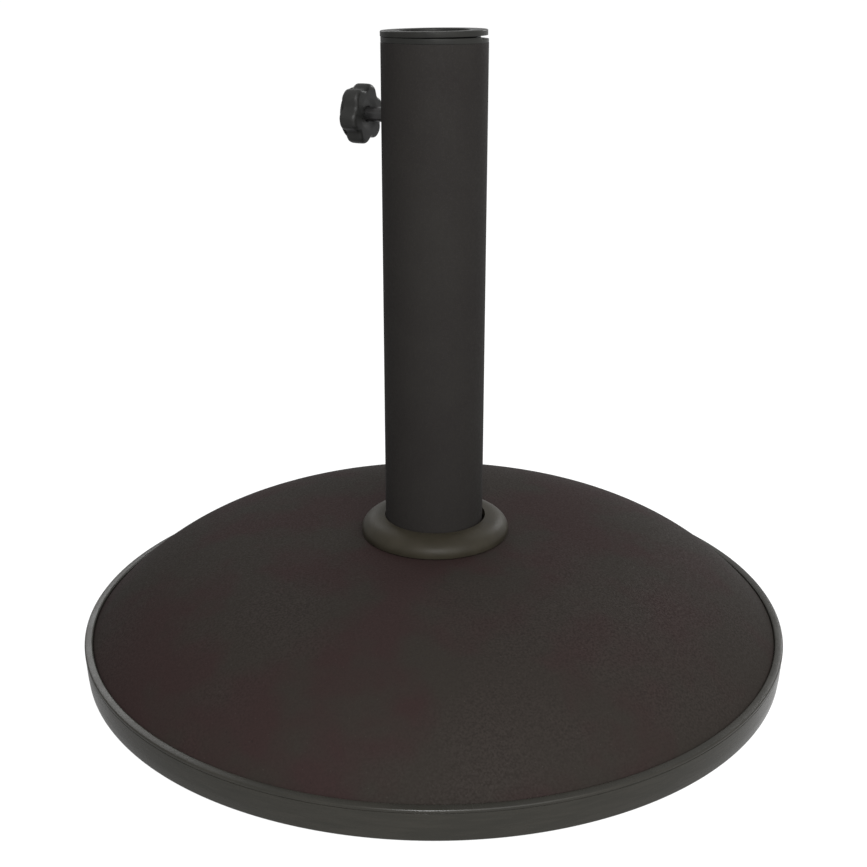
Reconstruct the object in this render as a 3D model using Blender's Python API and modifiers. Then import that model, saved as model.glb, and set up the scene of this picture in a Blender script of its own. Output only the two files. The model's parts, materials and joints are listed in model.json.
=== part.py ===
"""Parasol base: a cast weight on a moulded tray, with a pole tube, a clamp screw and a reducer.

The frame is +Z up. The origin is on the floor, on the axis of the pole tube. Lengths are in metres.
Each named object is one physical piece. The clamp's pieces hang on the empty "clamp_axis", whose
own +Z runs along the screw, out of the tube.
"""

import math

import bmesh
import bpy

# ---- Driving dimensions ----

GAP = 0.0003                      # clearance between pieces that touch or press on each other
CHAMFER = 0.0008                  # broken edge on small turned pieces
OVERRUN = 0.0020                  # cutting tools reach this far past what they cut

# Feet and tray
FOOT_COUNT = 6
FOOT_CIRCLE = 0.2150              # radius of the circle that the feet stand on
FOOT_RADIUS = 0.0140
FOOT_HEIGHT = 0.0015              # the feet carry the tray this high above the floor
FOOT_PEG_RADIUS = 0.0032
RIM_RADIUS = 0.2530               # greatest radius, at the bead on top of the band
BAND_FOOT_RADIUS = 0.2517         # the band draws in slightly towards the floor
LIP_INNER_RADIUS = 0.2471
LIP_HEIGHT = 0.0221               # top of the lip above the tray's underside
BEAD_RADIUS = 0.0014              # rounding of the lip's outer shoulder
LIP_EDGE = 0.0012                 # rounding of the lip's inner edge
BAND_GROOVE = 0.0007              # depth of the groove under the bead
BAND_WAIST = 0.0070               # the band is straight above this height and drawn in below it
TRAY_FLOOR = 0.0022
TRAY_WALL_INNER = 0.2489
TRAY_HOLE_RADIUS = 0.0260         # opening in the tray floor for the socket wrench

# Weight
DOME_RISE = 0.0624                # height of the dome's crown above its edge
DOME_EDGE_HEIGHT = 0.0204         # height of the dome's edge above the tray's underside
DOME_POWER = 4.3                  # the crown is flat and the edge is steep
SHOULDER_DROP = 0.0012            # the shoulder under the lip lies this far below the dome's edge
RECESS_RADIUS = 0.0230            # wrench recess in the underside

# Socket in the weight
ANCHOR_RADIUS = 0.0550
ANCHOR_THICKNESS = 0.0050
ANCHOR_BOTTOM = 0.0242
SLEEVE_RADIUS = 0.0380
SLEEVE_BORE = 0.0355

# Pole tube
TUBE_RADIUS = 0.0350
TUBE_BORE = 0.0330
TUBE_TOP = 0.4257
END_PLATE_THICKNESS = 0.0100

# Fixing bolt, M12
BOLT_RADIUS = 0.0059
BOLT_HEAD_FLATS = 0.0190
BOLT_HEAD_HEIGHT = 0.0075
BOLT_TIP = 0.0375
BOLT_CLEARANCE = 0.0006           # round the bolt in its washers and in the anchor plate
FLAT_WASHER_RADIUS = 0.0150
FLAT_WASHER_THICKNESS = 0.0025
LOCK_WASHER_RADIUS = 0.0105
LOCK_WASHER_THICKNESS = 0.0024
LOCK_WASHER_SLIT = 0.0009         # half the width of the slit at the rim

# Collar around the foot of the tube
COLLAR_RADIUS = 0.0533
COLLAR_NECK_RADIUS = 0.0380
COLLAR_BORE = 0.0363
COLLAR_SHIFT = 0.0008             # the loose ring lies a little towards +X
COLLAR_EDGE = 0.0022              # height of the collar's upright edge
COLLAR_HEIGHT = 0.0125

# Liner and reducer in the mouth of the tube
LINER_FLANGE_RADIUS = 0.0349
LINER_FLANGE = 0.0031
FLANGE_EDGE = 0.0005              # broken edges of both flanges
LINER_BORE = 0.0312
LINER_LENGTH = 0.0360
LIFT_NOTCH_START = 0.0300         # beyond this distance towards +X the liner's flange is lower,
LIFT_NOTCH_DEPTH = 0.0012         # so that a nail gets under the ring
REDUCER_FLANGE_RADIUS = 0.0348
REDUCER_FLANGE = 0.0036
REDUCER_RADIUS = 0.0298
REDUCER_BORE = 0.0250
REDUCER_LENGTH = 0.0300
REDUCER_TILT = math.radians(0.8)      # the loose ring sits askew, raised on its +X side
REDUCER_SHIFT = -0.0004               # and a little towards -X

# Clamp: distances along its axis are measured from the axis of the tube
CLAMP_HEIGHT = 0.3782
CLAMP_TURN = math.radians(27.7)       # the screw points to -X, turned this far towards +Y
PAD_RADIUS = 0.0065
PAD_FRONT = 0.0140
PAD_BACK = 0.0174
PAD_FACE = 0.0014                     # thickness of the pad under the stud's tip
STUD_RADIUS = 0.0049                  # M10
STUD_TIP_RADIUS = 0.0030
STUD_END = 0.0585
NUT_FLATS = 0.0160
NUT_INNER_FACE = 0.0280
KNOB_BACK = 0.0495
KNOB_FRONT = 0.0622
KNOB_RADIUS = 0.0199                  # over the lobes
KNOB_NOTCH = 0.0033                   # depth of the notches between the lobes
KNOB_NOTCH_POWER = 1.6                # narrows the notches and widens the lobes
KNOB_LOBES = 6
KNOB_PHASE = math.radians(17.6)
KNOB_EDGE = 0.0024                    # rounding of the knob's edges
CAP_RADIUS = 0.0170                   # raised cap on the knob's outer face
CAP_RISE = 0.0034

# ---- Heights that follow from the driving dimensions ----

TRAY_BOTTOM = FOOT_HEIGHT
TRAY_FLOOR_TOP = TRAY_BOTTOM + TRAY_FLOOR
WEIGHT_BOTTOM = TRAY_FLOOR_TOP + GAP
DOME_EDGE = TRAY_BOTTOM + DOME_EDGE_HEIGHT
DOME_TOP = DOME_EDGE + DOME_RISE
ANCHOR_TOP = ANCHOR_BOTTOM + ANCHOR_THICKNESS
SOCKET_FLOOR = ANCHOR_TOP + GAP
COLLAR_BOTTOM = DOME_TOP + GAP
LINER_FLANGE_BOTTOM = TUBE_TOP + GAP
LINER_TOP = LINER_FLANGE_BOTTOM + LINER_FLANGE

# ---- Smoothness ----

LARGE_STEPS = 88
MEDIUM_STEPS = 56
SMALL_STEPS = 28

for old in list(bpy.data.objects):
    bpy.data.objects.remove(old, do_unlink=True)

PARTS = bpy.data.collections.new("parasol_base")
CUTTERS = bpy.data.collections.new("cutters")
bpy.context.scene.collection.children.link(PARTS)
bpy.context.scene.collection.children.link(CUTTERS)


# ---- Materials ----

def finish(name, colour, roughness, metallic=0.0):
    """A Principled material of one colour."""
    material = bpy.data.materials.new(name)
    material.use_nodes = True
    shader = material.node_tree.nodes["Principled BSDF"]
    shader.inputs["Base Color"].default_value = (*colour, 1.0)
    shader.inputs["Roughness"].default_value = roughness
    shader.inputs["Metallic"].default_value = metallic
    material.diffuse_color = (*colour, 1.0)
    return material


COATED_CONCRETE = finish("coated_concrete", (0.020, 0.015, 0.013), 0.75)
TRAY_PLASTIC = finish("tray_plastic", (0.023, 0.022, 0.019), 0.30)
FOOT_RUBBER = finish("foot_rubber", (0.020, 0.020, 0.020), 0.90)
COATED_STEEL = finish("coated_steel", (0.014, 0.013, 0.012), 0.75)
COLLAR_PLASTIC = finish("collar_plastic", (0.021, 0.019, 0.014), 0.48)
FITTING_PLASTIC = finish("fitting_plastic", (0.014, 0.014, 0.013), 0.40)
KNOB_PLASTIC = finish("knob_plastic", (0.015, 0.015, 0.014), 0.48)
ZINC_STEEL = finish("zinc_steel", (0.60, 0.60, 0.58), 0.35, 1.0)
BLACK_STEEL = finish("black_steel", (0.035, 0.034, 0.033), 0.40, 0.6)


# ---- Modelling helpers ----

def place(obj, material, collection, parent=None):
    """Gives an object its material and puts it in a collection, and on an empty if one is named."""
    if material:
        obj.data.materials.append(material)
    collection.objects.link(obj)
    obj.parent = parent
    if collection is CUTTERS:
        obj.hide_render = True
        obj.display_type = "WIRE"
    return obj


def turned(name, outline, material, steps=MEDIUM_STEPS, collection=PARTS, parent=None):
    """A solid of revolution about +Z.

    The outline's (radius, height) points run down the outer side, top to bottom. An outline that
    starts on the axis is a solid, and any other is closed on itself, as a ring.
    """
    count = len(outline)
    edges = [(i, i + 1) for i in range(count - 1)]
    if outline[0][0] > 0.0:
        edges.append((count - 1, 0))
    mesh = bpy.data.meshes.new(name)
    mesh.from_pydata([(radius, 0.0, height) for radius, height in outline], edges, [])
    obj = place(bpy.data.objects.new(name, mesh), material, collection, parent)
    screw = obj.modifiers.new("turn", "SCREW")
    screw.axis = "Z"
    screw.angle = math.tau
    screw.steps = steps
    screw.render_steps = steps
    screw.use_merge_vertices = True
    screw.merge_threshold = 0.00001
    return obj


def arc(centre_radius, centre_height, radius, start, end, count):
    """Points of an arc in a turned outline, with its angles in degrees from the +X direction."""
    points = []
    for i in range(count):
        angle = math.radians(start + (end - start) * i / (count - 1))
        points.append((centre_radius + radius * math.cos(angle),
                       centre_height + radius * math.sin(angle)))
    return points


def prism(name, sides, radius, low, high, material, collection=PARTS, parent=None):
    """A regular prism or a cylinder about +Z, from height low to height high."""
    mesh = bpy.data.meshes.new(name)
    shape = bmesh.new()
    bmesh.ops.create_cone(shape, cap_ends=True, segments=sides,
                          radius1=radius, radius2=radius, depth=high - low)
    bmesh.ops.translate(shape, verts=shape.verts, vec=(0.0, 0.0, 0.5 * (low + high)))
    shape.to_mesh(mesh)
    shape.free()
    return place(bpy.data.objects.new(name, mesh), material, collection, parent)


def combine(obj, tool, operation):
    """Cuts an object with a tool, or joins the tool to it."""
    modifier = obj.modifiers.new(tool.name, "BOOLEAN")
    modifier.operation = operation
    modifier.solver = "EXACT"
    modifier.object = tool


def settle(obj, sharp=math.radians(35.0)):
    """Keeps the modifiers' result as the object's mesh, shaded smooth up to its sharp edges."""
    bpy.context.view_layer.update()
    evaluated = obj.evaluated_get(bpy.context.evaluated_depsgraph_get())
    mesh = bpy.data.meshes.new_from_object(evaluated)
    obj.modifiers.clear()
    obj.data = mesh
    mesh.shade_smooth()
    mesh.set_sharp_from_angle(angle=sharp)


# ---- Weight, tray and feet ----

def dome_height(radius):
    """Height of the weight's top surface at a distance from the axis."""
    return DOME_EDGE + DOME_RISE * (1.0 - (radius / LIP_INNER_RADIUS) ** DOME_POWER)


def build_weight():
    """The cast concrete dome, open in the middle for the socket and the anchor plate."""
    bore = SLEEVE_RADIUS + GAP
    edge = LIP_INNER_RADIUS - GAP
    wall = TRAY_WALL_INNER - GAP
    shoulder = DOME_EDGE - SHOULDER_DROP
    rings = 11
    outline = [(bore, dome_height(bore))]
    for i in range(1, rings + 1):
        radius = bore + (edge - bore) * math.sin(0.5 * math.pi * i / rings)
        outline.append((radius, dome_height(radius)))
    outline += [
        (edge, shoulder),
        (wall, shoulder),
        (wall, WEIGHT_BOTTOM),
        (RECESS_RADIUS, WEIGHT_BOTTOM),
        (RECESS_RADIUS, ANCHOR_BOTTOM - GAP),
        (ANCHOR_RADIUS + GAP, ANCHOR_BOTTOM - GAP),
        (ANCHOR_RADIUS + GAP, ANCHOR_TOP + GAP),
        (bore, ANCHOR_TOP + GAP),
    ]
    settle(turned("weight_block", outline, COATED_CONCRETE, LARGE_STEPS))


def build_tray():
    """The moulded tray: a floor, a band, and a lip that turns in over the weight's edge."""
    base = TRAY_BOTTOM
    shoulder = base + LIP_HEIGHT - BEAD_RADIUS
    groove_low = shoulder - 2.0 * BAND_GROOVE
    under_lip = DOME_EDGE - SHOULDER_DROP + GAP
    outline = arc(RIM_RADIUS - BEAD_RADIUS, shoulder, BEAD_RADIUS, 85.0, 0.0, 4)
    outline += [
        (RIM_RADIUS - BAND_GROOVE, shoulder - BAND_GROOVE),
        (RIM_RADIUS - BAND_GROOVE, groove_low),
        (RIM_RADIUS, groove_low - BAND_GROOVE),
        (0.5 * (RIM_RADIUS + BAND_FOOT_RADIUS), base + BAND_WAIST),
        (BAND_FOOT_RADIUS, base + CHAMFER),
        (BAND_FOOT_RADIUS - CHAMFER, base),
        (TRAY_HOLE_RADIUS, base),
        (TRAY_HOLE_RADIUS, TRAY_FLOOR_TOP),
        (TRAY_WALL_INNER, TRAY_FLOOR_TOP),
        (TRAY_WALL_INNER, under_lip),
        (LIP_INNER_RADIUS, under_lip),
    ]
    outline += arc(LIP_INNER_RADIUS + LIP_EDGE, base + LIP_HEIGHT - LIP_EDGE, LIP_EDGE, 180.0, 95.0, 3)
    tray = turned("base_tray", outline, TRAY_PLASTIC, LARGE_STEPS)
    for index, (x, y) in enumerate(foot_places(), start=1):
        hole = prism(f"peg_hole_{index}", SMALL_STEPS, FOOT_PEG_RADIUS + GAP,
                     base - OVERRUN, TRAY_FLOOR_TOP + OVERRUN, None, CUTTERS)
        hole.location = (x, y, 0.0)
        combine(tray, hole, "DIFFERENCE")
    settle(tray)


def foot_places():
    """Centres of the feet, evenly spaced, with none right in front."""
    for index in range(FOOT_COUNT):
        angle = math.tau * index / FOOT_COUNT
        yield FOOT_CIRCLE * math.cos(angle), FOOT_CIRCLE * math.sin(angle)


def build_feet():
    """Rubber feet, each with a peg in a hole in the tray's floor."""
    pad_top = FOOT_HEIGHT - GAP
    for index, (x, y) in enumerate(foot_places(), start=1):
        outline = [
            (0.0, TRAY_FLOOR_TOP - GAP),
            (FOOT_PEG_RADIUS, TRAY_FLOOR_TOP - GAP),
            (FOOT_PEG_RADIUS, pad_top),
            (FOOT_RADIUS, pad_top),
            (FOOT_RADIUS - CHAMFER, 0.0),
            (0.0, 0.0),
        ]
        foot = turned(f"foot_pad_{index}", outline, FOOT_RUBBER, SMALL_STEPS)
        foot.location = (x, y, 0.0)
        settle(foot)


# ---- Socket, tube and the bolt from below ----

def build_socket():
    """The steel plate and sleeve that are cast into the weight."""
    hole = BOLT_RADIUS + BOLT_CLEARANCE
    settle(turned("anchor_plate", [
        (ANCHOR_RADIUS, ANCHOR_TOP), (ANCHOR_RADIUS, ANCHOR_BOTTOM),
        (hole, ANCHOR_BOTTOM), (hole, ANCHOR_TOP),
    ], BLACK_STEEL))
    low = SOCKET_FLOOR
    high = DOME_TOP - GAP
    sleeve = [(SLEEVE_RADIUS, high), (SLEEVE_RADIUS, low), (SLEEVE_BORE, low), (SLEEVE_BORE, high)]
    settle(turned("socket_sleeve", sleeve, BLACK_STEEL))


def build_tube():
    """The coated steel tube, with the clamp's hole, and the tapped plate in its lower end."""
    tube = turned("pole_tube", [
        (TUBE_RADIUS, TUBE_TOP), (TUBE_RADIUS, SOCKET_FLOOR),
        (TUBE_BORE, SOCKET_FLOOR), (TUBE_BORE, TUBE_TOP),
    ], COATED_STEEL)
    hole = prism("stud_hole", SMALL_STEPS, STUD_RADIUS + 2 * GAP,
                 NUT_INNER_FACE, TUBE_RADIUS + OVERRUN, None, CUTTERS, CLAMP_AXIS)
    combine(tube, hole, "DIFFERENCE")
    settle(tube)
    tapped = BOLT_RADIUS + GAP
    edge = TUBE_BORE - GAP
    top = SOCKET_FLOOR + END_PLATE_THICKNESS
    settle(turned("tube_end_plate", [
        (edge, top), (edge, SOCKET_FLOOR), (tapped, SOCKET_FLOOR), (tapped, top),
    ], BLACK_STEEL))


def build_bolt():
    """The bolt that draws the tube down on the anchor plate, with its two washers."""
    washer_top = ANCHOR_BOTTOM - GAP
    washer_bottom = washer_top - FLAT_WASHER_THICKNESS
    bore = BOLT_RADIUS + BOLT_CLEARANCE
    settle(turned("flat_washer", [
        (FLAT_WASHER_RADIUS, washer_top), (FLAT_WASHER_RADIUS, washer_bottom),
        (bore, washer_bottom), (bore, washer_top),
    ], ZINC_STEEL, SMALL_STEPS))

    spring_top = washer_bottom - GAP
    spring_bottom = spring_top - LOCK_WASHER_THICKNESS
    spring = turned("lock_washer", [
        (LOCK_WASHER_RADIUS, spring_top), (LOCK_WASHER_RADIUS, spring_bottom),
        (bore, spring_bottom), (bore, spring_top),
    ], ZINC_STEEL, SMALL_STEPS)
    slit = prism("washer_slit", 4, LOCK_WASHER_RADIUS,
                 spring_bottom - OVERRUN, spring_top + OVERRUN, None, CUTTERS)
    slit.scale = (1.0, LOCK_WASHER_SLIT / LOCK_WASHER_RADIUS, 1.0)
    slit.location = (LOCK_WASHER_RADIUS, 0.0, 0.0)
    combine(spring, slit, "DIFFERENCE")
    settle(spring)

    head_top = spring_bottom - GAP
    head_bottom = head_top - BOLT_HEAD_HEIGHT
    bolt = prism("fixing_bolt", 6, BOLT_HEAD_FLATS / math.sqrt(3.0),
                 head_bottom, head_top, ZINC_STEEL)
    shank = turned("bolt_shank", [
        (0.0, BOLT_TIP), (BOLT_RADIUS - CHAMFER, BOLT_TIP), (BOLT_RADIUS, BOLT_TIP - CHAMFER),
        (BOLT_RADIUS, head_top - OVERRUN), (0.0, head_top - OVERRUN),
    ], None, SMALL_STEPS, CUTTERS)
    combine(bolt, shank, "UNION")
    settle(bolt)


# ---- Collar, liner and reducer ----

def build_collar():
    """The loose flared ring that hides the tube's foot."""
    base = COLLAR_BOTTOM
    edge_top = base + COLLAR_EDGE
    rise = COLLAR_HEIGHT - COLLAR_EDGE
    run = COLLAR_RADIUS - COLLAR_NECK_RADIUS
    steps = 8
    outline = []
    for i in range(steps + 1):
        angle = 0.5 * math.pi * (1.0 - i / steps)
        outline.append((COLLAR_NECK_RADIUS + run * math.cos(angle), edge_top + rise * math.sin(angle)))
    outline += [
        (COLLAR_RADIUS - GAP, base),
        (COLLAR_BORE, base),
        (COLLAR_BORE, base + COLLAR_HEIGHT),
    ]
    collar = turned("collar", outline, COLLAR_PLASTIC)
    collar.location = (COLLAR_SHIFT, 0.0, 0.0)
    settle(collar)


def lift_notch():
    """The tool for the flat notch in the liner's flange, under the ring's raised side."""
    reach = LINER_FLANGE_RADIUS - LIFT_NOTCH_START + OVERRUN
    size = (reach, 2.0 * LINER_FLANGE_RADIUS, 2.0 * LIFT_NOTCH_DEPTH)
    shape = bmesh.new()
    bmesh.ops.create_cube(shape, size=1.0)
    bmesh.ops.scale(shape, verts=shape.verts, vec=size)
    bmesh.ops.translate(shape, verts=shape.verts, vec=(LIFT_NOTCH_START + 0.5 * reach, 0.0, LINER_TOP))
    mesh = bpy.data.meshes.new("lift_notch")
    shape.to_mesh(mesh)
    shape.free()
    return place(bpy.data.objects.new("lift_notch", mesh), None, CUTTERS)


def build_mouth():
    """The liner pressed into the tube's mouth, and the loose reducer ring that lies on it."""
    sleeve = TUBE_BORE - GAP
    foot = LINER_TOP - LINER_LENGTH
    edge = LINER_FLANGE_RADIUS
    liner = turned("tube_liner", [
        (edge - FLANGE_EDGE, LINER_TOP), (edge, LINER_TOP - FLANGE_EDGE),
        (edge, LINER_FLANGE_BOTTOM + FLANGE_EDGE), (edge - FLANGE_EDGE, LINER_FLANGE_BOTTOM),
        (sleeve, LINER_FLANGE_BOTTOM), (sleeve, foot), (LINER_BORE, foot), (LINER_BORE, LINER_TOP),
    ], FITTING_PLASTIC)
    combine(liner, lift_notch(), "DIFFERENCE")
    settle(liner)

    edge = REDUCER_FLANGE_RADIUS
    reducer = turned("reducer_ring", [
        (edge - FLANGE_EDGE, REDUCER_FLANGE), (edge, REDUCER_FLANGE - FLANGE_EDGE),
        (edge, 0.0), (REDUCER_RADIUS, 0.0), (REDUCER_RADIUS, -REDUCER_LENGTH),
        (REDUCER_BORE, -REDUCER_LENGTH), (REDUCER_BORE, REDUCER_FLANGE),
    ], FITTING_PLASTIC)
    lift = REDUCER_FLANGE_RADIUS * math.sin(REDUCER_TILT)
    reducer.location = (REDUCER_SHIFT, 0.0, LINER_TOP + GAP + lift)
    reducer.rotation_euler = (0.0, -REDUCER_TILT, 0.0)
    settle(reducer)


# ---- Clamp ----

def build_clamp_nut():
    """The thin nut welded inside the tube, its outer face shaped to the tube's round wall."""
    nut = prism("clamp_nut", 6, NUT_FLATS / math.sqrt(3.0), NUT_INNER_FACE, TUBE_RADIUS,
                COATED_STEEL, PARTS, CLAMP_AXIS)
    wall = prism("nut_wall", 2 * MEDIUM_STEPS, TUBE_BORE - GAP,
                 CLAMP_HEIGHT - NUT_FLATS, CLAMP_HEIGHT + NUT_FLATS, None, CUTTERS)
    thread = prism("nut_thread", SMALL_STEPS, STUD_RADIUS + GAP,
                   NUT_INNER_FACE - OVERRUN, TUBE_RADIUS, None, CUTTERS, CLAMP_AXIS)
    combine(nut, wall, "INTERSECT")
    combine(nut, thread, "DIFFERENCE")
    settle(nut)


def build_clamp_screw():
    """The stud, and the swivel pad that snaps on its tip."""
    shoulder = PAD_BACK + GAP
    tip = PAD_FRONT + PAD_FACE + GAP
    settle(turned("clamp_stud", [
        (0.0, STUD_END), (STUD_RADIUS - CHAMFER, STUD_END), (STUD_RADIUS, STUD_END - CHAMFER),
        (STUD_RADIUS, shoulder), (STUD_TIP_RADIUS, shoulder), (STUD_TIP_RADIUS, tip), (0.0, tip),
    ], BLACK_STEEL, SMALL_STEPS, PARTS, CLAMP_AXIS))
    socket = STUD_TIP_RADIUS + GAP
    socket_floor = PAD_FRONT + PAD_FACE
    settle(turned("pressure_pad", [
        (socket, PAD_BACK), (PAD_RADIUS, PAD_BACK), (PAD_RADIUS, PAD_FRONT + CHAMFER),
        (PAD_RADIUS - CHAMFER, PAD_FRONT), (0.0, PAD_FRONT), (0.0, socket_floor),
        (socket, socket_floor),
    ], FITTING_PLASTIC, SMALL_STEPS, PARTS, CLAMP_AXIS))


def knob_head():
    """The knob's lobed head, with rounded edges, as an unlinked mesh about +Z."""
    count = 72
    curve = bpy.data.curves.new("knob_head", "CURVE")
    curve.dimensions = "2D"
    curve.fill_mode = "BOTH"
    curve.extrude = 0.5 * (KNOB_FRONT - KNOB_BACK) - KNOB_EDGE
    curve.bevel_depth = KNOB_EDGE
    curve.bevel_resolution = 1
    curve.offset = -KNOB_EDGE
    spline = curve.splines.new("POLY")
    spline.points.add(count - 1)
    spline.use_cyclic_u = True
    for i, point in enumerate(spline.points):
        angle = math.tau * i / count
        between = 0.5 - 0.5 * math.cos(KNOB_LOBES * (angle - KNOB_PHASE))
        radius = KNOB_RADIUS - KNOB_NOTCH * between ** KNOB_NOTCH_POWER
        point.co = (radius * math.cos(angle), radius * math.sin(angle), 0.0, 1.0)

    flat = bpy.data.objects.new("knob_head", curve)
    CUTTERS.objects.link(flat)
    bpy.context.view_layer.update()
    evaluated = flat.evaluated_get(bpy.context.evaluated_depsgraph_get())
    mesh = bpy.data.meshes.new_from_object(evaluated)
    bpy.data.objects.remove(flat)
    shape = bmesh.new()
    shape.from_mesh(mesh)
    bmesh.ops.remove_doubles(shape, verts=shape.verts, dist=0.00002)
    bmesh.ops.translate(shape, verts=shape.verts, vec=(0.0, 0.0, 0.5 * (KNOB_FRONT + KNOB_BACK)))
    shape.to_mesh(mesh)
    shape.free()
    return mesh


def build_knob():
    """The star knob: a lobed head with a domed cap, moulded around the stud's end."""
    knob = place(bpy.data.objects.new("clamp_knob", knob_head()), KNOB_PLASTIC, PARTS, CLAMP_AXIS)
    pocket = prism("knob_pocket", SMALL_STEPS, STUD_RADIUS + GAP,
                   KNOB_BACK - OVERRUN, STUD_END + GAP, None, CUTTERS, CLAMP_AXIS)
    sphere = (CAP_RADIUS ** 2 + CAP_RISE ** 2) / (2.0 * CAP_RISE)
    slope = math.degrees(math.acos(CAP_RADIUS / sphere))
    cap = turned("knob_cap", arc(0.0, KNOB_FRONT + CAP_RISE - sphere, sphere, 90.0, slope, 5) + [
        (CAP_RADIUS, KNOB_FRONT - CHAMFER), (0.0, KNOB_FRONT - CHAMFER),
    ], None, 2 * SMALL_STEPS, CUTTERS, CLAMP_AXIS)
    cap.data.vertices[0].co.x = 0.0
    combine(knob, cap, "UNION")
    combine(knob, pocket, "DIFFERENCE")
    settle(knob)


# ---- Assembly ----

CLAMP_AXIS = bpy.data.objects.new("clamp_axis", None)
CLAMP_AXIS.location = (0.0, 0.0, CLAMP_HEIGHT)
CLAMP_AXIS.rotation_euler = (0.0, math.radians(-90.0), -CLAMP_TURN)
CLAMP_AXIS.empty_display_size = 0.05
PARTS.objects.link(CLAMP_AXIS)

build_weight()
build_tray()
build_feet()
build_socket()
build_tube()
build_bolt()
build_collar()
build_mouth()
build_clamp_nut()
build_clamp_screw()
build_knob()
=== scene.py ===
"""The looks of the parasol base: fine turned meshes, moulded and cast details, and procedural finishes.

Lengths are in metres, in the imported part's frame: +Z up, origin on the floor under the pole tube.
Every piece stands in the space of the CAD node that it replaces.
"""

import json
import math

import bmesh
import bpy
from mathutils import Euler, Matrix, Vector, noise


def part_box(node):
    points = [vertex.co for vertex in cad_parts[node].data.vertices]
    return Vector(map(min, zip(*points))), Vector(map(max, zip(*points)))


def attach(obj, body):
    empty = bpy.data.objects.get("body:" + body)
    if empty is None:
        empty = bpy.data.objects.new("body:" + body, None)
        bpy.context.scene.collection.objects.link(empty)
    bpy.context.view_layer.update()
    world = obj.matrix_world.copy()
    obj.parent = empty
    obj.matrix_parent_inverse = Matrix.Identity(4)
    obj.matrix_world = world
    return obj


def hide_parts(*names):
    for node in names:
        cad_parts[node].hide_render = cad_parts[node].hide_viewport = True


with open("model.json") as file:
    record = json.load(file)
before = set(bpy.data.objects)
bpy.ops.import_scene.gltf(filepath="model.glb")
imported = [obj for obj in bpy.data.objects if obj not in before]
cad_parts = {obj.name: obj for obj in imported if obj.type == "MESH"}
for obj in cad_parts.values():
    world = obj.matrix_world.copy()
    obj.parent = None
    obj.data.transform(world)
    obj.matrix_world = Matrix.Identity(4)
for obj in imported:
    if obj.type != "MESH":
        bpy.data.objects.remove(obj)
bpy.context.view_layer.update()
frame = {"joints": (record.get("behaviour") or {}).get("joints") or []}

# ---- Sizes from the frame, and those inside the pieces that it does not give ----

tray_low, tray_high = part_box("base_tray")
weight_low, weight_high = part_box("weight_block")
foot_low, foot_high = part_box("foot_pad_1")
tube_low, tube_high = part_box("pole_tube")
sleeve_low, sleeve_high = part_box("socket_sleeve")
anchor_low, anchor_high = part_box("anchor_plate")
plate_low, plate_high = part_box("tube_end_plate")
collar_low, collar_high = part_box("collar")
liner_low, liner_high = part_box("tube_liner")
bolt_low, bolt_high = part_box("fixing_bolt")
spring_low, spring_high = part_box("lock_washer")
washer_low, washer_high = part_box("flat_washer")

knob_joint = next(j for j in frame["joints"] if j["name"] == "knob_turn")
CLAMP_CENTRE = Vector(knob_joint["pos_m"])
CLAMP_OUT = -Vector(knob_joint["axis"]).normalized()

GAP = 0.0003                       # clearance between pieces, as in the frame
TUBE_RADIUS = tube_high.x
TUBE_BORE = 0.0330
SLEEVE_BORE = 0.0355
RIM_RADIUS = tray_high.x
LIP_INNER_RADIUS = 0.2471
WEIGHT_WALL = weight_high.x
DOME_EDGE = tray_low.z + 0.0204
DOME_RISE = weight_high.z - DOME_EDGE
DOME_POWER = 4.3

# ---- Steps round a turned piece ----

LARGE_STEPS = 384
TUBE_STEPS = 224
SMALL_STEPS = 96


# ---- Mesh helpers ----

def rounded(corners, closed=True, steps=5):
    """An outline whose (radius, height, fillet) corners are rounded by arcs of their fillet radius."""
    outline = []
    count = len(corners)
    for i, (radius, height, fillet) in enumerate(corners):
        here = Vector((radius, height))
        ends = not closed and i in (0, count - 1)
        if fillet <= 0.0 or ends:
            outline.append(here)
            continue
        before = Vector(corners[i - 1][:2]) - here
        after = Vector(corners[(i + 1) % count][:2]) - here
        half = 0.5 * before.angle(after)
        reach = min(fillet / math.tan(half), 0.49 * before.length, 0.49 * after.length)
        centre = here + (before.normalized() + after.normalized()).normalized() * reach / math.cos(half)
        start = here + before.normalized() * reach - centre
        turn = start.angle_signed(here + after.normalized() * reach - centre)
        for k in range(steps + 1):
            angle = -turn * k / steps
            outline.append(centre + Vector((
                start.x * math.cos(angle) - start.y * math.sin(angle),
                start.x * math.sin(angle) + start.y * math.cos(angle),
            )))
    return [(point.x, point.y) for point in outline]


def mesh_object(name, shape, sharp=40.0):
    """An object with the bmesh as its mesh, its faces turned outwards and smooth up to its sharp edges."""
    bmesh.ops.recalc_face_normals(shape, faces=shape.faces)
    mesh = bpy.data.meshes.new(name)
    shape.to_mesh(mesh)
    shape.free()
    mesh.shade_smooth()
    mesh.set_sharp_from_angle(angle=math.radians(sharp))
    obj = bpy.data.objects.new(name, mesh)
    bpy.context.scene.collection.objects.link(obj)
    return obj


def lathe_shape(outline, steps, closed=True, shift=None):
    """A bmesh turned about +Z from (radius, height) points. An open outline starts and ends on the axis.

    shift(radius, angle, height) may move each point, and returns its new radius and height.
    """
    shape = bmesh.new()
    rings = []
    for radius, height in outline:
        if radius < 1e-7:
            rings.append([shape.verts.new((0.0, 0.0, height))] * steps)
            continue
        ring = []
        for k in range(steps):
            angle = math.tau * k / steps
            r, z = shift(radius, angle, height) if shift else (radius, height)
            ring.append(shape.verts.new((r * math.cos(angle), r * math.sin(angle), z)))
        rings.append(ring)
    pairs = list(zip(rings, rings[1:]))
    if closed:
        pairs.append((rings[-1], rings[0]))
    for upper, lower in pairs:
        for k in range(steps):
            j = (k + 1) % steps
            corners = [upper[k], lower[k], lower[j], upper[j]]
            kept = [v for n, v in enumerate(corners) if v not in corners[:n]]
            shape.faces.new(kept)
    return shape


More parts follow.
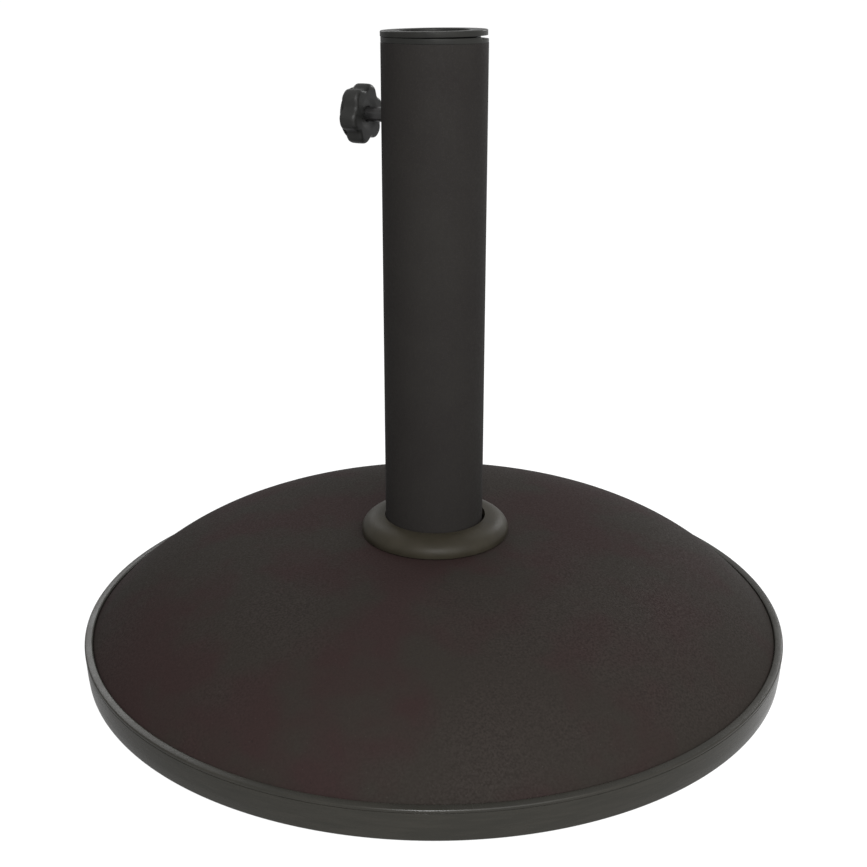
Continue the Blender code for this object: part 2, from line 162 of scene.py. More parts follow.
def lathe(name, outline, steps=TUBE_STEPS, closed=True, shift=None, sharp=40.0):
    """A turned piece."""
    return mesh_object(name, lathe_shape(outline, steps, closed, shift), sharp)


def cut(obj, tool, operation="DIFFERENCE"):
    """Cuts obj with a tool, or joins the tool to it, and removes the tool."""
    modifier = obj.modifiers.new("cut", "BOOLEAN")
    modifier.operation = operation
    modifier.solver = "EXACT"
    modifier.object = tool
    bpy.context.view_layer.update()
    mesh = bpy.data.meshes.new_from_object(obj.evaluated_get(bpy.context.evaluated_depsgraph_get()))
    obj.modifiers.clear()
    obj.data = mesh
    mesh.shade_smooth()
    mesh.set_sharp_from_angle(angle=math.radians(40.0))
    bpy.data.objects.remove(tool)
    return obj


def rod(name, radius, low, high, sides=SMALL_STEPS):
    """A plain cylinder or prism about +Z, used as a cutting tool."""
    return lathe(name, [(0.0, high), (radius, high), (radius, low), (0.0, low)], sides, closed=False)


def clamp_matrix():
    """Takes +Z at the origin to the clamp's axis, with local +X upwards."""
    side = CLAMP_OUT.cross(Vector((0.0, 0.0, 1.0)))
    turn = Matrix((Vector((0.0, 0.0, 1.0)), side, CLAMP_OUT)).transposed()
    return Matrix.Translation(CLAMP_CENTRE) @ turn.to_4x4()


def on_clamp(obj):
    """Moves a mesh made about +Z onto the clamp's axis."""
    obj.data.transform(clamp_matrix())
    return obj


def piece(obj, body, material, slot, *nodes):
    """Gives a piece its finish and its body, and hides the CAD nodes that it stands for. The slot is not
    used.
    """
    obj.data.materials.clear()
    obj.data.materials.append(material)
    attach(obj, body)
    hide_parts(*nodes)
    return obj


def unevenness(x, y, size, seed):
    """Smooth noise from -1 to 1 over a surface, with bumps of about the given size."""
    return noise.noise(Vector((x / size, y / size, seed)))


# ---- Materials ----

class Finish:
    """A Principled material that is built up from procedural nodes in object coordinates."""

    def __init__(self, name, roughness, specular=0.5, metallic=0.0):
        self.material = bpy.data.materials.new(name)
        self.material.use_nodes = True
        self.nodes = self.material.node_tree.nodes
        self.links = self.material.node_tree.links
        self.shader = self.nodes["Principled BSDF"]
        self.shader.inputs["Roughness"].default_value = roughness
        self.shader.inputs["Specular IOR Level"].default_value = specular
        self.shader.inputs["Metallic"].default_value = metallic
        self.place = self.nodes.new("ShaderNodeTexCoord").outputs["Object"]

    def scaled(self, stretch):
        """Object coordinates stretched along each axis."""
        mapping = self.nodes.new("ShaderNodeMapping")
        mapping.inputs["Scale"].default_value = stretch
        self.links.new(self.place, mapping.inputs["Vector"])
        return mapping.outputs["Vector"]

    def grain(self, size, detail=2.0, roughness=0.5, stretch=None):
        """Noise whose features are about size metres wide."""
        texture = self.nodes.new("ShaderNodeTexNoise")
        texture.inputs["Scale"].default_value = 1.0 / size
        texture.inputs["Detail"].default_value = detail
        texture.inputs["Roughness"].default_value = roughness
        self.links.new(self.scaled(stretch) if stretch else self.place, texture.inputs["Vector"])
        return texture.outputs["Fac"]

    def cells(self, size):
        """Distance to the middle of the nearest cell, with cells about size metres wide."""
        texture = self.nodes.new("ShaderNodeTexVoronoi")
        texture.inputs["Scale"].default_value = 1.0 / size
        self.links.new(self.place, texture.inputs["Vector"])
        return texture.outputs["Distance"]

    def remap(self, value, low, high, new_low=0.0, new_high=1.0):
        """The value's stretch from low to high, spread over the new stretch."""
        node = self.nodes.new("ShaderNodeMapRange")
        for socket, number in zip(node.inputs[1:5], (low, high, new_low, new_high)):
            socket.default_value = number
        self.links.new(value, node.inputs["Value"])
        return node.outputs["Result"]

    def blend(self, fac, first, second):
        """A colour between two, each an RGB tuple or a socket."""
        node = self.nodes.new("ShaderNodeMix")
        node.data_type = "RGBA"
        self.links.new(fac, node.inputs["Factor"])
        for socket, colour in ((node.inputs["A"], first), (node.inputs["B"], second)):
            self.give(socket, colour)
        return node.outputs["Result"]

    def give(self, socket, colour):
        """Sets a colour socket from an RGB tuple or links it."""
        if isinstance(colour, tuple):
            socket.default_value = (*colour, 1.0)
        else:
            self.links.new(colour, socket)

    def sum(self, *weighted):
        """The sum of (value, weight) pairs."""
        total = None
        for value, weight in weighted:
            node = self.nodes.new("ShaderNodeMath")
            node.operation = "MULTIPLY_ADD"
            self.links.new(value, node.inputs[0])
            node.inputs[1].default_value = weight
            if total is None:
                node.inputs[2].default_value = 0.0
            else:
                self.links.new(total, node.inputs[2])
            total = node.outputs[0]
        return total

    def colour(self, value):
        self.give(self.shader.inputs["Base Color"], value)

    def roughness(self, value):
        self.links.new(value, self.shader.inputs["Roughness"])

    def bump(self, height, depth):
        """Relief of the given depth in metres where the height runs from 0 to 1."""
        node = self.nodes.new("ShaderNodeBump")
        node.inputs["Strength"].default_value = 1.0
        node.inputs["Distance"].default_value = depth
        self.links.new(height, node.inputs["Height"])
        self.links.new(node.outputs["Normal"], self.shader.inputs["Normal"])


def coated_concrete():
    """Cast concrete under a thin brown-black coat: cloudy colour, patches of open grain, and a few pits."""
    finish = Finish("coated_concrete", 0.75, specular=0.06)
    clouds = finish.remap(finish.grain(0.075, 3.0, 0.55), 0.43, 0.57)
    patches = finish.remap(finish.grain(0.110, 2.0, 0.5), 0.48, 0.62)
    sand = finish.grain(0.0014, 2.0, 0.6)
    specks = finish.remap(finish.cells(0.0046), 0.0, 0.15, 1.0, 0.0)
    pits = finish.remap(finish.cells(0.0120), 0.0, 0.075, 1.0, 0.0)
    base = finish.blend(clouds, (0.0202, 0.0122, 0.0116), (0.0184, 0.0155, 0.0131))
    open_grain = finish.blend(
        finish.remap(sand, 0.38, 0.66), (0.0258, 0.0205, 0.0182), (0.0110, 0.0088, 0.0080))
    closed_grain = finish.blend(
        finish.remap(sand, 0.35, 0.70, 0.0, 0.30), base, (0.0125, 0.0098, 0.0090))
    grained = finish.blend(finish.remap(patches, 0.0, 1.0, 0.0, 0.38), closed_grain, open_grain)
    # Light specks blended into the colour: dust, and painted glints.
    dust_and_glints = finish.blend(finish.remap(specks, 0.4, 1.0, 0.0, 0.30), grained, (0.080, 0.073, 0.064))
    # The pits are blended to near-black: painted shade in them, while their dent comes from the bump below.
    finish.colour(finish.blend(finish.remap(pits, 0.3, 1.0, 0.0, 0.6), dust_and_glints, (0.008, 0.007, 0.007)))
    finish.roughness(finish.remap(sand, 0.3, 0.7, 0.62, 0.86))
    relief = finish.sum((sand, 0.45), (finish.grain(0.0006, 1.0), 0.15), (specks, 0.25), (pits, -1.2))
    finish.bump(relief, 0.00022)
    return finish.material


def tray_plastic():
    """Satin moulded plastic: faint flow streaks round the rim and a fine spark-eroded texture."""
    finish = Finish("tray_plastic", 0.28, specular=0.10)
    flow = finish.grain(0.030, 3.0, 0.6, stretch=(1.0, 1.0, 9.0))
    fine = finish.grain(0.0009, 2.0, 0.6)
    finish.colour(finish.blend(
        finish.remap(flow, 0.3, 0.7), (0.0205, 0.0198, 0.0168), (0.0255, 0.0240, 0.0203)))
    finish.roughness(finish.sum((finish.remap(flow, 0.3, 0.7, 0.19, 0.27), 1.0), (fine, 0.08)))
    finish.bump(finish.sum((fine, 0.6), (finish.grain(0.006), 0.8)), 0.00006)
    return finish.material


def coated_steel():
    """Textured powder coat: orange peel with a fine grit, and a little dust."""
    finish = Finish("coated_steel", 0.75, specular=0.08)
    peel = finish.grain(0.0021, 2.0, 0.45)
    grit = finish.grain(0.0007, 1.0, 0.5)
    tone = finish.grain(0.060, 3.0, 0.6)
    base = finish.blend(finish.remap(tone, 0.35, 0.65), (0.0130, 0.0116, 0.0110), (0.0151, 0.0139, 0.0128))
    finish.colour(finish.blend(finish.remap(grit, 0.55, 0.75, 0.0, 0.25), base, (0.034, 0.031, 0.028)))
    finish.roughness(finish.remap(peel, 0.3, 0.7, 0.68, 0.82))
    finish.bump(finish.sum((peel, 0.8), (grit, 0.35)), 0.00007)
    return finish.material


def moulded_plastic(name, dark, light, low, high, specular, depth):
    """Moulded plastic with a soft tone change, a fine texture and its own gloss."""
    finish = Finish(name, 0.5 * (low + high), specular=specular)
    tone = finish.grain(0.018, 3.0, 0.55)
    fine = finish.grain(0.0008, 2.0, 0.5)
    finish.colour(finish.blend(finish.remap(tone, 0.35, 0.65), dark, light))
    finish.roughness(finish.remap(finish.sum((tone, 0.5), (fine, 0.5)), 0.35, 0.65, low, high))
    finish.bump(finish.sum((fine, 0.5), (finish.grain(0.004), 0.8)), depth)
    return finish.material


def zinc_steel():
    """Zinc-plated steel: spangled tone, fine scratches, and a slightly cloudy gloss."""
    finish = Finish("zinc_steel", 0.35, metallic=1.0)
    cloud = finish.grain(0.004, 4.0, 0.6)
    scratch = finish.grain(0.0011, 3.0, 0.7, stretch=(1.0, 1.0, 0.12))
    finish.colour(finish.blend(finish.remap(cloud, 0.3, 0.7), (0.46, 0.45, 0.42), (0.66, 0.66, 0.63)))
    finish.roughness(finish.remap(finish.sum((cloud, 0.5), (scratch, 0.5)), 0.35, 0.65, 0.26, 0.46))
    finish.bump(scratch, 0.00003)
    return finish.material


def black_steel():
    """Hot-rolled steel with its mill scale and a trace of rust."""
    finish = Finish("black_steel", 0.5, metallic=0.6)
    scale = finish.grain(0.009, 4.0, 0.65)
    fine = finish.grain(0.0012, 2.0, 0.6)
    base = finish.blend(finish.remap(scale, 0.35, 0.65), (0.030, 0.029, 0.029), (0.050, 0.047, 0.044))
    finish.colour(finish.blend(finish.remap(scale, 0.62, 0.72, 0.0, 0.6), base, (0.085, 0.040, 0.022)))
    finish.roughness(finish.remap(fine, 0.3, 0.7, 0.38, 0.62))
    finish.bump(finish.sum((scale, 0.6), (fine, 0.4)), 0.0001)
    return finish.material


def black_oxide():
    """Machined steel blackened in oil: dark with a tight sheen."""
    finish = Finish("black_oxide", 0.28, specular=0.5)
    tone = finish.grain(0.004, 3.0, 0.6)
    finish.colour(finish.blend(
        finish.remap(tone, 0.35, 0.65), (0.012, 0.012, 0.012), (0.018, 0.017, 0.017)))
    finish.bump(finish.grain(0.0008), 0.00002)
    return finish.material


def foot_rubber():
    """Matte rubber with a bloom of dust."""
    finish = Finish("foot_rubber", 0.85, specular=0.3)
    bloom = finish.grain(0.006, 4.0, 0.6)
    finish.colour(finish.blend(
        finish.remap(bloom, 0.35, 0.7), (0.014, 0.014, 0.014), (0.030, 0.029, 0.027)))
    finish.roughness(finish.remap(bloom, 0.3, 0.7, 0.75, 0.92))
    finish.bump(finish.grain(0.0006), 0.00005)
    return finish.material


CONCRETE = coated_concrete()
TRAY = tray_plastic()
STEEL = coated_steel()
COLLAR = moulded_plastic(
    "collar_plastic", (0.0188, 0.0163, 0.0112), (0.0245, 0.0213, 0.0150), 0.42, 0.54, 0.11, 0.00005)
FITTING = moulded_plastic(
    "fitting_plastic", (0.0125, 0.0125, 0.0118), (0.0165, 0.0165, 0.0150), 0.34, 0.46, 0.10, 0.00005)
KNOB = moulded_plastic(
    "knob_plastic", (0.0125, 0.0125, 0.0118), (0.0170, 0.0170, 0.0160), 0.42, 0.54, 0.20, 0.00006)
ZINC = zinc_steel()
BLACK = black_steel()
OXIDE = black_oxide()
RUBBER = foot_rubber()


# ---- Weight ----

def dome_height(radius):
    """Height of the weight's top surface at a distance from the axis."""
    return DOME_EDGE + DOME_RISE * (1.0 - (radius / LIP_INNER_RADIUS) ** DOME_POWER)


def build_weight():
    """The cast dome, with the slight unevenness of a trowelled casting."""
    bore = sleeve_high.x + GAP
    edge = LIP_INNER_RADIUS - GAP
    shoulder = DOME_EDGE - 0.0012
    recess = 0.0230
    pocket = anchor_high.x + GAP
    rings = 150
    outline = []
    for i in range(rings + 1):
        radius = bore + (edge - bore) * math.sin(0.5 * math.pi * i / rings)
        outline.append((radius, dome_height(radius)))
    lowest_shifted = outline[-1][1]
    outline += rounded([
        (edge, shoulder, 0.0), (WEIGHT_WALL, shoulder, 0.0004), (WEIGHT_WALL, weight_low.z, 0.002),
        (recess, weight_low.z, 0.001), (recess, anchor_low.z - GAP, 0.0), (pocket, anchor_low.z - GAP, 0.0),
        (pocket, anchor_high.z + GAP, 0.0), (bore, anchor_high.z + GAP, 0.0),
    ], closed=False, steps=4)
    relief = ((0.00030, 0.075, 1.3), (0.00006, 0.009, 7.7))    # depth, size and seed: waves, ripples

    def cast(radius, angle, height):
        if height < lowest_shifted:
            return radius, height
        x = radius * math.cos(angle)
        y = radius * math.sin(angle)
        return radius, height - sum(
            depth * (0.5 + 0.5 * unevenness(x, y, size, seed)) for depth, size, seed in relief)

    dome = lathe("cast_dome", outline, LARGE_STEPS, shift=cast)
    piece(dome, "base", CONCRETE, "coated_concrete", "weight_block")


# ---- Tray and feet ----

def foot_places():
    """Centres of the feet, which the frame's boxes give."""
    for index in range(1, 7):
        low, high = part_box(f"foot_pad_{index}")
        yield index, 0.5 * (low.x + high.x), 0.5 * (low.y + high.y)


def build_tray():
    """The moulded tray: a ribbed floor, a drawn-in band, and a lip that turns in over the weight's edge."""
    base = tray_low.z
    top = tray_high.z
    floor_top = base + 0.0022
    foot_radius = RIM_RADIUS - 0.0013
    wall = 0.2489
    hole = 0.0260
    groove = base + 0.0196
    groove_radius = RIM_RADIUS - 0.0006
    soft = 0.0005
    crisp = 0.0001
    corners = [
        (LIP_INNER_RADIUS, top, 0.0012),
        (RIM_RADIUS - 0.00055, top - 0.0002, soft), (RIM_RADIUS, top - 0.0009, soft),
        (RIM_RADIUS, groove + 0.0004, 2.0 * crisp), (groove_radius, groove + 0.0001, crisp),
        (groove_radius, groove - 0.0002, crisp), (RIM_RADIUS - 0.0001, groove - 0.0003, crisp),
        (0.5 * (RIM_RADIUS + foot_radius), base + 0.0070, 0.030),
        (foot_radius, base, 0.0011),
    ]
    rib_low = base - 0.0009
    rib_foot = 0.0019
    rib_tip = 0.0012
    rib_edge = 0.0004
    for rib in (0.1960, 0.1500, 0.1040, 0.0580):
        corners += [
            (rib + rib_foot, base, rib_edge), (rib + rib_tip, rib_low, rib_edge),
            (rib - rib_tip, rib_low, rib_edge), (rib - rib_foot, base, rib_edge),
        ]
    hole_edge = 0.0006
    lip_low = DOME_EDGE - 0.0009
    corners += [
        (hole, base, hole_edge), (hole, floor_top, hole_edge), (wall, floor_top, 0.0),
        (wall, lip_low, 0.0), (LIP_INNER_RADIUS, lip_low, 0.0004),
    ]
    tray = lathe("moulded_tray", rounded(corners), LARGE_STEPS)
    pegs = bmesh.new()
    peg_radius = 0.0035
    for _, x, y in foot_places():
        peg = bmesh.ops.create_cone(
            pegs, cap_ends=True, segments=32, radius1=peg_radius, radius2=peg_radius, depth=0.02)
        bmesh.ops.translate(pegs, verts=peg["verts"], vec=(x, y, base))
    cut(tray, mesh_object("peg_holes", pegs))
    piece(tray, "base", TRAY, "tray_plastic", "base_tray")


def build_feet():
    """Rubber feet with a rounded rim, a ringed sole and a peg."""
    pad_top = tray_low.z - GAP
    radius = 0.5 * (foot_high.x - foot_low.x)
    peg = 0.0032
    for index, x, y in foot_places():
        corners = [(0.0, foot_high.z, 0.0), (peg, foot_high.z, 0.0005), (peg, pad_top, 0.0003),
                   (radius, pad_top, 0.0005), (radius - 0.0006, 0.0, 0.0006)]
        for ring in (0.0105, 0.0075, 0.0045):
            corners += [(ring + 0.0005, 0.0, 0.0001), (ring + 0.0003, 0.0005, 0.0001),
                        (ring - 0.0003, 0.0005, 0.0001), (ring - 0.0005, 0.0, 0.0001)]
        corners.append((0.0, 0.0, 0.0))
        outline = rounded(corners, closed=False, steps=4)
        foot = lathe(f"rubber_foot_{index}", outline, SMALL_STEPS, closed=False)
        foot.data.transform(Matrix.Translation((x, y, 0.0)))
        piece(foot, "base", RUBBER, "foot_rubber", f"foot_pad_{index}")


# ---- Socket, tube and bolt ----

def build_socket():
    """The cast-in sleeve, and the anchor plate that it is welded to."""
    edge = 0.0004
    sleeve = lathe("cast_in_sleeve", rounded([
        (sleeve_high.x, sleeve_high.z, edge), (sleeve_high.x, sleeve_low.z, edge),
        (SLEEVE_BORE, sleeve_low.z, edge), (SLEEVE_BORE, sleeve_high.z, edge),
    ]))
    piece(sleeve, "base", BLACK, "black_steel", "socket_sleeve")
    hole = 0.0066
    plate = lathe("cast_in_plate", rounded([
        (anchor_high.x, anchor_high.z, edge), (anchor_high.x, anchor_low.z, edge),
        (hole, anchor_low.z, edge), (hole, anchor_high.z, edge),
    ]))
    piece(plate, "base", BLACK, "black_steel", "anchor_plate")


def build_tube():
    """The tube, with the seam of its weld inside and the clamp's hole, and the tapped plate at its foot."""
    seam_angle = math.radians(68.0)
    seam_width = 0.035
    seam_height = 0.0002

    def seamed(radius, angle, height):
        if radius > 0.5 * (TUBE_BORE + TUBE_RADIUS):
            return radius, height
        return radius - seam_height * math.exp(-((angle - seam_angle) / seam_width) ** 2), height

    edge = 0.0003
    low = tube_low.z
    high = tube_high.z
    bands = 24
    heights = [high + (low - high) * i / bands for i in range(1, bands)]
    corners = [(TUBE_RADIUS, high, edge)] + [(TUBE_RADIUS, z, 0.0) for z in heights]
    corners += [(TUBE_RADIUS, low, edge), (TUBE_BORE, low, edge)]
    corners += [(TUBE_BORE, z, 0.0) for z in reversed(heights)] + [(TUBE_BORE, high, edge)]
    tube = lathe("steel_tube", rounded(corners, steps=3), shift=seamed)
    hole = on_clamp(rod("stud_hole", 0.0055, TUBE_BORE - 0.006, TUBE_RADIUS + 0.004))
    cut(tube, hole)
    piece(tube, "base", STEEL, "coated_steel", "pole_tube")

    tapped = 0.0062
    plate = lathe("tapped_plate", rounded([
        (plate_high.x, plate_high.z, 0.0012), (plate_high.x, plate_low.z, 0.0004),
        (tapped, plate_low.z, 0.0005), (tapped, plate_high.z, 0.0008),
    ]))
    piece(plate, "base", BLACK, "black_steel", "tube_end_plate")


def threaded(name, radius, pitch, depth, low, high, run_out, plain=0.0):
    """A rod about +Z whose thread fades out over run_out at its ends, with a plain length at the top."""
    samples = 12
    flank = 2.3
    thread_top = high - plain
    rows = round((thread_top - low) / pitch * samples)
    chamfer = 0.7 * depth
    outline = [(0.0, high), (radius - depth - chamfer, high)]
    if plain:
        outline += [(radius, high - depth - chamfer), (radius, 0.5 * (high + thread_top))]
    outline += [(radius, thread_top + (low - thread_top) * i / rows) for i in range(rows + 1)]
    outline += [(radius - depth - chamfer, low), (0.0, low)]

    def wound(point_radius, angle, height):
        if point_radius < radius or height > thread_top:
            return point_radius, height
        turn = (height / pitch - angle / math.tau) % 1.0
        crest = min(1.0, flank * abs(2.0 * turn - 1.0))
        groove = 1.0 - crest * max(0.0, min(1.0, (height - low) / run_out, (high - height) / run_out))
        if plain:
            groove *= min(1.0, (thread_top - height) / run_out)
        return radius - depth * groove, height

    return lathe(name, outline, 64, closed=False, shift=wound, sharp=60.0)


def hexagon(name, flats, low, high, rise):
    """A hexagon about +Z with small edge rounding, and the round chamfer of a turned bar at its low end."""
    corner = flats / math.sqrt(3.0)
    edge = 0.0002
    shape = bmesh.new()
    bmesh.ops.create_cone(
        shape, cap_ends=True, segments=6, radius1=corner, radius2=corner, depth=high - low)
    bmesh.ops.translate(shape, verts=shape.verts, vec=(0.0, 0.0, 0.5 * (low + high)))
    bmesh.ops.bevel(shape, geom=shape.edges[:], offset=edge, segments=2, affect="EDGES", profile=0.5)
    body = mesh_object(name, shape)
    reach = corner + edge
    turned = lathe("chamfer", [
        (0.0, high), (reach, high), (reach, low + rise), (0.475 * flats, low), (0.0, low),
    ], SMALL_STEPS, closed=False)
    return cut(body, turned, "INTERSECT")


def build_bolt():
    """The hexagon bolt from below, its split spring washer and its flat washer."""
    shank_low = spring_low.z - GAP
    head = hexagon("hexagon_bolt", 0.0190, bolt_low.z, shank_low, 0.0012)
    shank = threaded("shank", 0.0059, 0.00175, 0.0008, shank_low - 0.002, bolt_high.z, 0.0016)
    cut(head, shank, "UNION")
    piece(head, "base", ZINC, "zinc_steel", "fixing_bolt")

    bore = 0.0064
    edge = 0.0003
    washer = lathe("plain_washer", rounded([
        (washer_high.x, washer_high.z, edge), (washer_high.x, washer_low.z, edge),
        (bore, washer_low.z, edge), (bore, washer_high.z, edge),
    ]), SMALL_STEPS)
    piece(washer, "base", ZINC, "zinc_steel", "flat_washer")
    build_spring_washer(bore)


def build_spring_washer(bore):
    """A coil of square wire that is almost a full turn, with its two ends slightly apart in height."""
    outer = -spring_low.x
    steps = 88
    opening = math.radians(14.0)
    offset = 0.0002
    thick = spring_high.z - spring_low.z - 2.0 * offset
    middle = 0.5 * (spring_low.z + spring_high.z)
    edge = 0.0003
    corners = rounded([(outer, 0.5 * thick, edge), (outer, -0.5 * thick, edge),
                       (bore, -0.5 * thick, edge), (bore, 0.5 * thick, edge)], steps=3)
    shape = bmesh.new()
    rings = []
    for k in range(steps + 1):
        share = k / steps
        angle = opening / 2.0 + (math.tau - opening) * share
        lift = middle + offset * (2.0 * share - 1.0)
        rings.append([
            shape.verts.new((r * math.cos(angle), r * math.sin(angle), z + lift)) for r, z in corners])
    for near, far in zip(rings, rings[1:]):
        for n in range(len(corners)):
            m = (n + 1) % len(corners)
            shape.faces.new((near[n], near[m], far[m], far[n]))
    shape.faces.new(rings[0])
    shape.faces.new(reversed(rings[-1]))
    spring = mesh_object("spring_washer", shape)
    piece(spring, "base", ZINC, "zinc_steel", "lock_washer")


# ---- Collar, liner and reducer ----

def build_collar():
    """The flared collar: a quarter-ellipse skirt with a small upright edge and a thin inner shell."""
    base = collar_low.z
    top = collar_high.z
    outer = 0.5 * (collar_high.x - collar_low.x)
    neck = 0.0380
    bore = 0.0363
    upright = 0.0022
    rise = top - base - upright
    run = outer - neck
    steps = 32
    outline = rounded([(bore, top, 0.0004), (neck, top, 0.0)], closed=False)
    for i in range(1, steps + 1):
        angle = 0.5 * math.pi * (1.0 - i / steps)
        outline.append((neck + run * math.cos(angle), base + upright + rise * math.sin(angle)))
    outline += rounded([
        (outer, base + upright, 0.0), (outer - 0.0001, base, 0.0005), (outer - 0.0030, base, 0.0005),
        (outer - 0.0040, base + 0.0012, 0.0004), (neck + 0.0030, base + 0.0060, 0.0020),
        (bore + 0.0012, base + 0.0070, 0.0005), (bore, base + 0.0074, 0.0),
    ], closed=False)[1:]
    ring = lathe("flared_collar", outline)
    ring.data.transform(Matrix.Translation((0.5 * (collar_high.x + collar_low.x), 0.0, 0.0)))
    piece(ring, "collar", COLLAR, "collar_plastic", "collar")


def build_mouth():
    """The liner in the tube's mouth, and the loose reducer ring that lies on it a little askew."""
    sleeve = TUBE_BORE - GAP
    bore = 0.0312
    under = tube_high.z + 0.00005
    outer = liner_high.x
    liner = lathe("mouth_liner", rounded([
        (outer, liner_high.z, 0.0004), (outer, under, 0.0002), (sleeve, under, 0.0),
        (sleeve, liner_low.z + 0.0030, 0.0010), (sleeve - 0.0006, liner_low.z, 0.0003),
        (bore, liner_low.z, 0.0004), (bore, liner_high.z, 0.0005),
    ]))
    notch_start = 0.0300
    notch_run = 0.0100
    notch_width = 0.0700
    notch_depth = 0.0012
    notch = bmesh.new()
    bmesh.ops.create_cube(notch, size=1.0)
    bmesh.ops.scale(notch, verts=notch.verts, vec=(notch_run, notch_width, 2.0 * notch_depth))
    bmesh.ops.translate(notch, verts=notch.verts, vec=(notch_start + 0.5 * notch_run, 0.0, liner_high.z))
    bmesh.ops.bevel(notch, geom=notch.edges[:], offset=0.0004, segments=3, affect="EDGES", profile=0.5)
    cut(liner, mesh_object("lift_notch", notch))
    piece(liner, "base", FITTING, "fitting_plastic", "tube_liner")

    tilt = math.radians(0.8)
    outer = 0.0348
    thick = 0.0036
    radius = 0.0298
    bore = 0.0250
    length = 0.0300
    ring = lathe("loose_reducer", rounded([
        (outer, thick, 0.0007), (outer, 0.0, 0.0003), (radius, 0.0, 0.0003),
        (radius, -length + 0.0040, 0.0015), (radius - 0.0008, -length, 0.0005),
        (bore, -length, 0.0008), (bore, thick, 0.0012),
    ]))
    lift = liner_high.z + 0.0001 + outer * math.sin(tilt)
    askew = Euler((0.0, -tilt, 0.0)).to_matrix().to_4x4()
    ring.data.transform(Matrix.Translation((-0.0004, 0.0, lift)) @ askew)
    piece(ring, "reducer", FITTING, "fitting_plastic", "reducer_ring")


# ---- Clamp ----

PAD_FRONT = 0.0140
PAD_BACK = 0.0174
PAD_FACE = 0.0014
STUD_RADIUS = 0.0049
STUD_END = 0.0585
NUT_FLATS = 0.0160
NUT_INNER_FACE = 0.0280
KNOB_BACK = 0.0495
KNOB_FRONT = 0.0622
KNOB_RADIUS = 0.0199
KNOB_NOTCH = 0.0033
KNOB_NOTCH_POWER = 1.6
KNOB_LOBES = 6
KNOB_PHASE = math.radians(17.6)
CAP_RADIUS = 0.0170
CAP_RISE = 0.0034


def build_clamp_nut():
    """The thin nut on the inside of the tube's wall."""
    nut = on_clamp(hexagon("welded_nut", NUT_FLATS, NUT_INNER_FACE, TUBE_RADIUS, 0.0007))
    middle = CLAMP_CENTRE.z
    wall = rod("wall", TUBE_BORE - GAP, middle - NUT_FLATS, middle + NUT_FLATS, 2 * TUBE_STEPS)
    thread = on_clamp(rod("tapping", STUD_RADIUS + GAP, NUT_INNER_FACE - 0.004, TUBE_RADIUS))
    cut(nut, wall, "INTERSECT")
    cut(nut, thread)
    piece(nut, "base", STEEL, "coated_steel", "clamp_nut")


def build_clamp_screw():
    """The M10 stud, threaded inside the tube and plain outside it, and the swivel pad on its tip."""
    tip = 0.0030
    shoulder = PAD_BACK + GAP
    face = PAD_FRONT + PAD_FACE
    stud = threaded("threaded_stud", STUD_RADIUS, 0.0015, 0.0009, shoulder, STUD_END, 0.0012,
                    plain=STUD_END - TUBE_RADIUS)
    neck = lathe("neck", rounded([
        (0.0, shoulder + 0.0006, 0.0), (tip, shoulder + 0.0006, 0.0), (tip, face + GAP, 0.0007),
        (0.0, face + GAP, 0.0),
    ], closed=False), 64, closed=False)
    cut(stud, neck, "UNION")
    piece(on_clamp(stud), "clamp_screw", OXIDE, "black_steel", "clamp_stud")

    radius = 0.0065
    socket = tip + GAP
    corners = [(socket, PAD_BACK, 0.0002), (radius, PAD_BACK, 0.0005), (radius, PAD_FRONT, 0.0010)]
    for ring in (0.0048, 0.0032, 0.0016):
        corners += [(ring + 0.0004, PAD_FRONT, 0.0001), (ring + 0.0002, PAD_FRONT + 0.0004, 0.0001),
                    (ring - 0.0002, PAD_FRONT + 0.0004, 0.0001), (ring - 0.0004, PAD_FRONT, 0.0001)]
    corners += [(0.0, PAD_FRONT, 0.0)]
    outline = [(0.0, face), (socket, face)] + rounded(corners, closed=False, steps=3)
    pad = lathe("swivel_pad", outline, 64, closed=False)
    piece(on_clamp(pad), "clamp_pad", FITTING, "fitting_plastic", "pressure_pad")


def lobe_radius(angle):
    """Outline of the knob's head."""
    between = 0.5 - 0.5 * math.cos(KNOB_LOBES * (angle - KNOB_PHASE))
    return KNOB_RADIUS - KNOB_NOTCH * between ** KNOB_NOTCH_POWER


